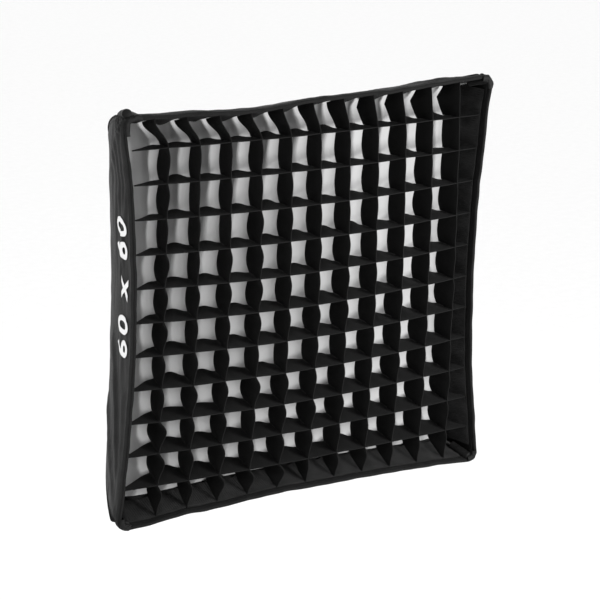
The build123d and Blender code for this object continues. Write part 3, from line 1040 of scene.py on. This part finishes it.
cloth = layCloth("inner_baffle_cloth", baffle["columns"], baffle["rows"], bafflePoint,
                 2 * baffle["half"], 2 * baffle["half"])
faceOut(cloth, Vector((0, 0, 0)))
setMaterials(cloth, diffusion)
thicken(cloth, baffle["thickness"], offset=0.0)
smoothFaces(cloth)
place(cloth, "softbox", "diffusion_cloth", "inner_baffle")

rodAtBaffle = depthAngle(baffle["depth"], rodRadius)
strapBand = {"inner": 0.2020, "outer": arcCentreR + rodRadius * math.cos(rodAtBaffle) - 0.0145,
             "width": 0.012, "thickness": 0.0012, "columns": 200, "rows": 6}
for corner in cornerNames:
    signX, signZ = cornerSigns[corner]

    def strapSpot(u, v):
        r = strapBand["inner"] + (strapBand["outer"] - strapBand["inner"]) * u
        across = (v - 0.5) * strapBand["width"] * (1 - 0.10 * math.sin(math.pi * u))
        depth = baffle["depth"] + 0.0010 * smooth(1 - u * 8) - 0.0014 * math.sin(math.pi * u)
        depth += 0.00025 * math.sin(u * 300)
        return Vector((signX * (r + across) / root2, -depth, signZ * (r - across) / root2))

    length = strapBand["outer"] - strapBand["inner"]
    strap = layCloth("baffle_strap_" + corner, strapBand["columns"], strapBand["rows"], strapSpot, length,
                     strapBand["width"])
    faceOut(strap, Vector((0, 0, 0)))
    setMaterials(strap, cloths["bindingTape"])
    thicken(strap, strapBand["thickness"], offset=0.0)
    smoothFaces(strap, 60)
    place(strap, "softbox", "binding_tape", "baffle_straps")
print("inner baffle made")

# ---- ribbed bands: the loop tape inside the lip and the border of the grid

ribs = {"pitch": 0.0032, "height": 0.0008, "columnsPerRib": 4}
lipTape = {"rear": 0.2780, "front": 0.3385, "inset": 0.0009, "thickness": 0.0009, "rows": 8, "endGap": 0.0150}
gridBorder = {"rear": 0.2955, "front": 0.3392, "inset": 0.0026, "thickness": 0.0010, "rows": 12,
              "endGap": 0.0165, "bulge": 0.0075}
gridShape = {"pitch": 0.048, "cells": 12, "front": 0.338, "depth": 0.043, "rearScale": 0.982,
             "inset": 0.0052, "endClear": 0.0004}


def cellFraction(along):
    # 0 at a strip, 1 in the middle of a cell
    cell = along / gridShape["pitch"]
    return math.sin(math.pi * (cell - math.floor(cell))) ** 2


def ribbedBand(name, side, band, bulge):
    # along the side, with ribs running front to back
    middleDepth = (band["rear"] + band["front"]) / 2
    reach = cornerHalf(middleDepth) - band["endGap"]
    count = int(2 * reach / ribs["pitch"])
    columns = count * ribs["columnsPerRib"]
    length = band["front"] - band["rear"]
    seed = 60 + sideNames.index(side)

    def spot(u, v):
        along = (2 * u - 1) * reach
        depth = band["rear"] + length * v
        rise = ribs["height"] * (0.5 + 0.5 * math.cos(math.tau * u * count))
        wander = band["inset"] + rise
        if bulge:
            loose = (1 - v) ** 1.4
            size = 1 + rand(seed, round(along / gridShape["pitch"] - 0.5) * 3.7)
            wander += bulge * size * loose * cellFraction(along) * smooth((reach - abs(along)) / 0.03)
            wander += 0.0020 * loose * (0.6 + rand(seed + 2, along * 90))
            depth += 0.0020 * loose * (1 + rand(seed + 4, along * 60))
        return onSide(side, wallOut(side, depth, along) - wander, depth, along)

    obj = layCloth(name, columns, band["rows"], spot, 2 * reach, length)
    faceOut(obj, None)
    thicken(obj, band["thickness"], offset=1.0)
    smoothFaces(obj, 60)
    return obj, (2 * reach, length)


for side in sideNames:
    tape, size = ribbedBand("lip_tape_" + side, side, lipTape, 0.0)
    setMaterials(tape, cloths["loopPile"])
    place(tape, "softbox", "loop_tape", "lip_loop_tape_" + side)
    border, size = ribbedBand("grid_border_band_" + side, side, gridBorder, gridBorder["bulge"])
    setMaterials(border, cloths["loopPile"])
    place(border, "grid", "grid_fabric", "grid_border_" + side)
print("lip tape and grid border made")

# ---- egg-crate strips, slotted half through each other

stripCloth = {
    "thickness": 0.0008,
    "tail": 0.006,            # depth of cloth left at the border where an end tapers
    "rows": 8,
    "columnsPerCell": 12,
    "slot": 0.0010,           # half the width of a slot
    "arch": 0.0052,           # how far a level strip's rear edge lifts in the middle of a cell
    "frontTwist": 0.0060,     # how far an upright strip's front edge bulges right in a cell
    "rearTwist": 0.0056,      # and its rear edge left
    "topLean": 0.023,         # how far the upright strips' top ends are drawn to the left, at the left
    "topKink": 0.011,         # how far the top cell's rear edges kink to the left, at the right
    "uprightTaper": 3.4,      # exponent of the taper at the upright strips' low ends
    "flutter": 0.0012,        # how far a front edge draws back in the middle of a cell
    "steadyEnd": 0.012,       # crossings keep their places this near the border, and the run up to it
    "steadyRun": 0.02,
}
# how the whole grid hangs in the lip
gridHang = {
    "right": 0.0080, "down": 0.0021, "sag": 0.0062, "bulge": 0.0154, "lean": 0.0032, "fan": 0.0050,
    "edgeFront": 0.3405, "rearRight": 0.0050, "rearDown": 0.0015,
    "endPull": 0.0085,        # the rear edges are drawn in this much more where a strip meets the border
    "pullFrom": 0.84,
}
firstStrip = -(gridShape["cells"] // 2 - 1)
stripNumbers = range(firstStrip, -firstStrip + 1)
lastCrossing = -firstStrip * gridShape["pitch"]
gridHalf = gridShape["pitch"] * gridShape["cells"] / 2


def stripStations(low, high):
    # positions along a strip from its low end to its high end, with a narrow column at each crossing
    pitch, slot = gridShape["pitch"], stripCloth["slot"]
    stations, slots = [], []
    edges = [low] + [k * pitch for k in stripNumbers] + [high]
    for index, (a, b) in enumerate(zip(edges, edges[1:])):
        start = a if index == 0 else a + slot
        stop = b if index == len(edges) - 2 else b - slot
        for k in range(stripCloth["columnsPerCell"] + 1):
            stations.append(start + (stop - start) * k / stripCloth["columnsPerCell"])
        if index < len(edges) - 2:
            slots.append(len(stations) - 1)
    return stations, slots


def nodeShift(column, row):
    # crossings are a little off their places
    off = Vector((rand(71, column * 2.3, row * 1.7), 0.0, rand(72, column * 2.1, row * 2.9)))
    return 0.0011 * off


def latticeShift(x, z):
    # the same between crossings
    column, row = x / gridShape["pitch"], z / gridShape["pitch"]
    c0, r0 = math.floor(column), math.floor(row)
    fc, fr = smooth(column - c0), smooth(row - r0)
    low = nodeShift(c0, r0).lerp(nodeShift(c0 + 1, r0), fc)
    high = nodeShift(c0, r0 + 1).lerp(nodeShift(c0 + 1, r0 + 1), fc)
    return low.lerp(high, fr)


def steadied(shift, along):
    # the shift, fading out towards the border
    steadyFrom = boxShape["frontHalf"] - stripCloth["steadyEnd"]
    return shift * smooth((steadyFrom - abs(along)) / stripCloth["steadyRun"])


def cellHump(along, peak):
    # the same kind of hump as cellFraction, with its top at peak instead of the middle
    cell = along / gridShape["pitch"]
    t = cell - math.floor(cell)
    return math.sin(math.pi * t ** (math.log(0.5) / math.log(peak))) ** 1.4


def cellSize(kind, number, along):
    # how much one cell's stretch of a strip bulges, against the usual amount
    cell = math.floor(along / gridShape["pitch"])
    return max(1 + 1.1 * rand(80 + kind, number * 2.7, cell * 1.9), 0.25)


def hang(x, z, back):
    # where a point of the flat grid hangs; back is 0 at the strips' front edges and 1 at their rear
    across, up = x / gridHalf, z / gridHalf
    swell = max(1 - across * across, 0.0) * max(1 - up * up, 0.0)
    scale = 1 - (1 - gridShape["rearScale"]) * back
    ends = smooth((1 - abs(across)) / 0.12) * smooth((1 - abs(up)) / 0.12)
    hungX = x * scale + gridHang["right"] + gridHang["lean"] * up - gridHang["fan"] * across * up
    hungX += gridHang["rearRight"] * back * ends
    hungZ = z * scale - gridHang["down"] - gridHang["sag"] * swell - gridHang["rearDown"] * back * ends
    pull, pullRun = gridHang["endPull"] * back, 1 - gridHang["pullFrom"]
    hungX -= math.copysign(pull * smooth((abs(across) - gridHang["pullFrom"]) / pullRun), across)
    hungZ -= math.copysign(pull * smooth((abs(up) - gridHang["pullFrom"]) / pullRun), up)
    depth = gridHang["edgeFront"] + gridHang["bulge"] * swell - back * gridShape["depth"]
    return hungX, depth, hungZ


def levelPoint(row, low, high, along, v):
    # a level strip tapers at both ends
    height = row * gridShape["pitch"]
    taper = 1.0
    if abs(along) > lastCrossing:
        end = high if along > 0 else -low
        share = min((abs(along) - lastCrossing) / (end - lastCrossing), 1.0)
        taper = 1 - share * (1 - stripCloth["tail"] / gridShape["depth"])
    back = v * taper
    x, depth, z = hang(along, height, back)
    shift = steadied(latticeShift(along, height), along)
    arch = stripCloth["arch"] * cellSize(0, row, along) * cellFraction(along)
    z += arch * back ** 1.3 - 0.0007 * cellFraction(along) * (1 - back)
    drawnBack = stripCloth["flutter"] * cellFraction(along) * (1 - v)
    return Vector((x + shift.x, -depth + drawnBack, z + shift.z))


def uprightPoint(column, low, high, along, v):
    # an upright strip tapers at its low end and leans at its top
    offset = column * gridShape["pitch"]
    taper = 1.0
    if along < -lastCrossing:
        share = min((-along - lastCrossing) / (-low - lastCrossing), 1.0)
        taper = 1 - share ** stripCloth["uprightTaper"] * (1 - stripCloth["tail"] / gridShape["depth"])
    back = v * taper
    x, depth, z = hang(offset, along, back)
    shift = steadied(latticeShift(offset, along), along)
    size = cellSize(1, column, along) * taper
    # the twist grows downwards and to the left
    downShare = 0.5 - 0.5 * along / lastCrossing
    frontTwist = stripCloth["frontTwist"] * (0.35 + downShare) * (0.7 - 0.07 * column)
    x += frontTwist * size * cellHump(along, 0.62) * (1 - v)
    x -= stripCloth["rearTwist"] * (0.45 + 0.45 * downShare) * size * cellHump(along, 0.42) * v
    if along > lastCrossing:
        top = (along - lastCrossing) / (high - lastCrossing)
        x -= stripCloth["topLean"] * smooth(top) * (1 - (column - firstStrip) / len(stripNumbers)) ** 1.1
        if column > 1:
            kink = top / 0.68 if top < 0.68 else (1 - top) / 0.32
            x -= stripCloth["topKink"] * kink * v ** 1.5 * (0.5 + 0.17 * (column - 2))
            x += 0.006 * smooth(top) * v
    drawnBack = stripCloth["flutter"] * cellFraction(along) * (1 - v)
    return Vector((x + shift.x, -depth + drawnBack, z + shift.z))


def makeStrip(name, number, kind):
    # kind is 0 for a level strip and 1 for an upright one
    offset = number * gridShape["pitch"]
    frontHalf = cornerHalf(gridShape["front"], gridShape["inset"])
    side = "right" if kind == 0 else "top"
    bow = boxShape["bow"][side] * frontHalf / boxShape["bowHalf"]
    high = frontHalf - bow * (1 - (offset / frontHalf) ** 2) - gridShape["endClear"]
    shift = gridHang["right"] if kind == 0 else -gridHang["down"]
    low, high = -high - shift, high - shift
    if kind == 1:
        high -= topDrop(offset)
    stations, slots = stripStations(low, high)
    spot = levelPoint if kind == 0 else uprightPoint
    columns, rows = len(stations) - 1, stripCloth["rows"]
    obj = layCloth(name, columns, rows, lambda u, v: spot(number, low, high, u, v), 1.0, gridShape["depth"],
                   alongAt=stations)

    def inSlot(face):
        # level strips are slotted from the front, upright strips from the rear
        row, column = divmod(face.index, columns)
        return column in slots and (row < rows // 2) == (kind == 0)

    deleteFaces(obj, inSlot)
    setMaterials(obj, cloths["gridNylon"], cloths["gridEdge"])
    thicken(obj, stripCloth["thickness"], offset=0.0, rim=1)
    smoothFaces(obj, 60)
    return obj, high - low


for kind, word in enumerate(("level", "upright")):
    for count, number in enumerate(stripNumbers):
        strip, length = makeStrip("%s_strip_%02d" % (word, count + 1), number, kind)
        place(strip, "grid", "grid_fabric", "grid_%s_strips" % word)
print("grid strips made")

# ---- front diffuser

diffuserCloth = {"depth": 0.2860, "inset": 0.0024, "edgeForward": 0.0060, "columns": 130, "rows": 130,
                 "thickness": 0.0005, "corner": 0.030, "cloud": 0.0026, "foldRise": 0.85, "foldSpread": 1.1,
                 "heldEdge": 0.11}
# soft folds in the hanging cloth: x and z of the top, x and z of the bottom, width, height
diffuserFolds = [
    (-0.250, 0.290, -0.228, 0.020, 0.012, 0.0075), (-0.204, 0.290, -0.186, 0.060, 0.009, 0.0080),
    (-0.158, 0.290, -0.132, 0.090, 0.011, 0.0070), (-0.106, 0.290, -0.100, 0.120, 0.012, 0.0062),
    (-0.048, 0.290, -0.056, 0.130, 0.014, 0.0058), (0.012, 0.290, 0.012, 0.170, 0.013, 0.0056),
    (0.085, 0.290, 0.060, 0.190, 0.012, 0.0060), (0.150, 0.290, 0.130, 0.170, 0.011, 0.0062),
    (0.215, 0.290, 0.205, 0.090, 0.012, 0.0050), (0.262, 0.270, 0.258, -0.240, 0.010, 0.0055),
    (0.235, 0.020, 0.240, -0.290, 0.012, 0.0040), (-0.262, 0.100, -0.258, -0.290, 0.011, 0.0045),
    (-0.215, -0.150, -0.222, -0.290, 0.012, 0.0036), (0.120, -0.200, 0.125, -0.290, 0.014, 0.0030),
    (-0.060, -0.215, -0.066, -0.290, 0.015, 0.0028),
]


def diffuserPoint(u, v):
    half = cornerHalf(diffuserCloth["depth"], diffuserCloth["inset"])
    p, q = 2 * u - 1, 2 * v - 1
    sideBow = boxShape["bow"]["left"] * half / boxShape["bowHalf"]
    endBow = boxShape["bow"]["top"] * half / boxShape["bowHalf"]
    cornerPull = 1 - diffuserCloth["corner"] * (abs(p) * abs(q)) ** 9
    x = p * (half - sideBow * (1 - q * q)) * cornerPull
    z = q * (half - endBow * (1 - p * p)) * cornerPull
    relief = 0.0
    for topX, topZ, lowX, lowZ, width, height in diffuserFolds:
        t = (topZ - z) / (topZ - lowZ)
        if -0.1 < t < 1.1:
            centre = topX + (lowX - topX) * t
            fade = smooth((1.1 - t) / 0.8) * smooth((t + 0.1) / 0.12)
            share = (x - centre) / (diffuserCloth["foldSpread"] * width)
            relief += diffuserCloth["foldRise"] * height * fade * math.exp(-(share ** 2))
    relief += diffuserCloth["cloud"] * (rand(90, x * 9, z * 7) + 0.5 * rand(91, x * 22, z * 16))
    # the cloth is held flat along its edges
    held = smooth((1 - max(abs(p), abs(q))) / diffuserCloth["heldEdge"])
    forward = diffuserCloth["edgeForward"] * (1 - held)
    return Vector((x, -(diffuserCloth["depth"] + forward + relief * held), z))


diffuserSpan = 2 * cornerHalf(diffuserCloth["depth"], diffuserCloth["inset"])
diffuser = layCloth("front_diffuser_cloth", diffuserCloth["columns"], diffuserCloth["rows"], diffuserPoint,
                    diffuserSpan, diffuserSpan)
faceOut(diffuser, Vector((0, 0, 0)))
setMaterials(diffuser, diffusion)
thicken(diffuser, diffuserCloth["thickness"])
smoothFaces(diffuser)
place(diffuser, "front_diffuser", "diffusion_cloth", "front_diffuser")

edgeTape = {"rear": 0.2790, "front": 0.2910, "inset": 0.0024, "thickness": 0.0010, "rows": 4,
            "endGap": 0.027}
for side in sideNames:
    tape, size = ribbedBand("diffuser_tape_" + side, side, edgeTape, 0.0)
    setMaterials(tape, cloths["hookTape"])
    place(tape, "front_diffuser", "hook_tape", "diffuser_edge_tapes")
print("front diffuser made")

# ---- light, floor and camera

camera = {
    "target": Vector((-0.0119, -0.338, -0.0039)),
    "azimuth": -31.594,
    "elevation": 16.913,
    "distance": 3.110,
    "roll": 1.609,
    "lens": 132.0,
    "sensor": 36.0,
}


def aim(obj, target, roll=0.0):
    # points an object's -Z at a target, with a roll in degrees
    direction = (target - obj.location).normalized()
    turn = direction.to_track_quat("-Z", "Y").to_matrix().to_4x4()
    obj.rotation_euler = (turn @ Matrix.Rotation(math.radians(roll), 4, "Z")).to_euler()


def addCamera():
    data = bpy.data.cameras.new("camera")
    data.lens = camera["lens"]
    data.sensor_width = camera["sensor"]
    obj = bpy.data.objects.new("camera", data)
    bpy.context.scene.collection.objects.link(obj)
    az, el = math.radians(camera["azimuth"]), math.radians(camera["elevation"])
    away = Vector((math.sin(az) * math.cos(el), -math.cos(az) * math.cos(el), math.sin(el)))
    obj.location = camera["target"] + away * camera["distance"]
    aim(obj, camera["target"], camera["roll"])
    bpy.context.scene.camera = obj


def addLight(name, location, target, size, power):
    data = bpy.data.lights.new(name, "AREA")
    data.shape = "SQUARE"
    data.size = size
    data.energy = power
    obj = bpy.data.objects.new(name, data)
    obj.location = Vector(location)
    bpy.context.scene.collection.objects.link(obj)
    aim(obj, Vector(target))


addCamera()
addLight("key", (0.55, -1.25, 0.16), (0.14, -0.3, -0.03), 0.45, 17)
addLight("fill", (-2.6, -0.7, 0.8), (-0.3, -0.25, 0.0), 1.6, 7)
world = bpy.data.worlds.new("studio")
world.use_nodes = True
world.node_tree.nodes["Background"].inputs["Color"].default_value = (1, 1, 1, 1)
world.node_tree.nodes["Background"].inputs["Strength"].default_value = 1.0
bpy.context.scene.world = world
bpy.context.scene.view_settings.view_transform = "Standard"

deselectAll()
bpy.ops.mesh.primitive_plane_add(size=14, location=(0, 0, -0.75))
floor = bpy.context.object
floor.name = "floor"
setMaterials(floor, plainPaint("floorPaint", 0.98, 0.7))
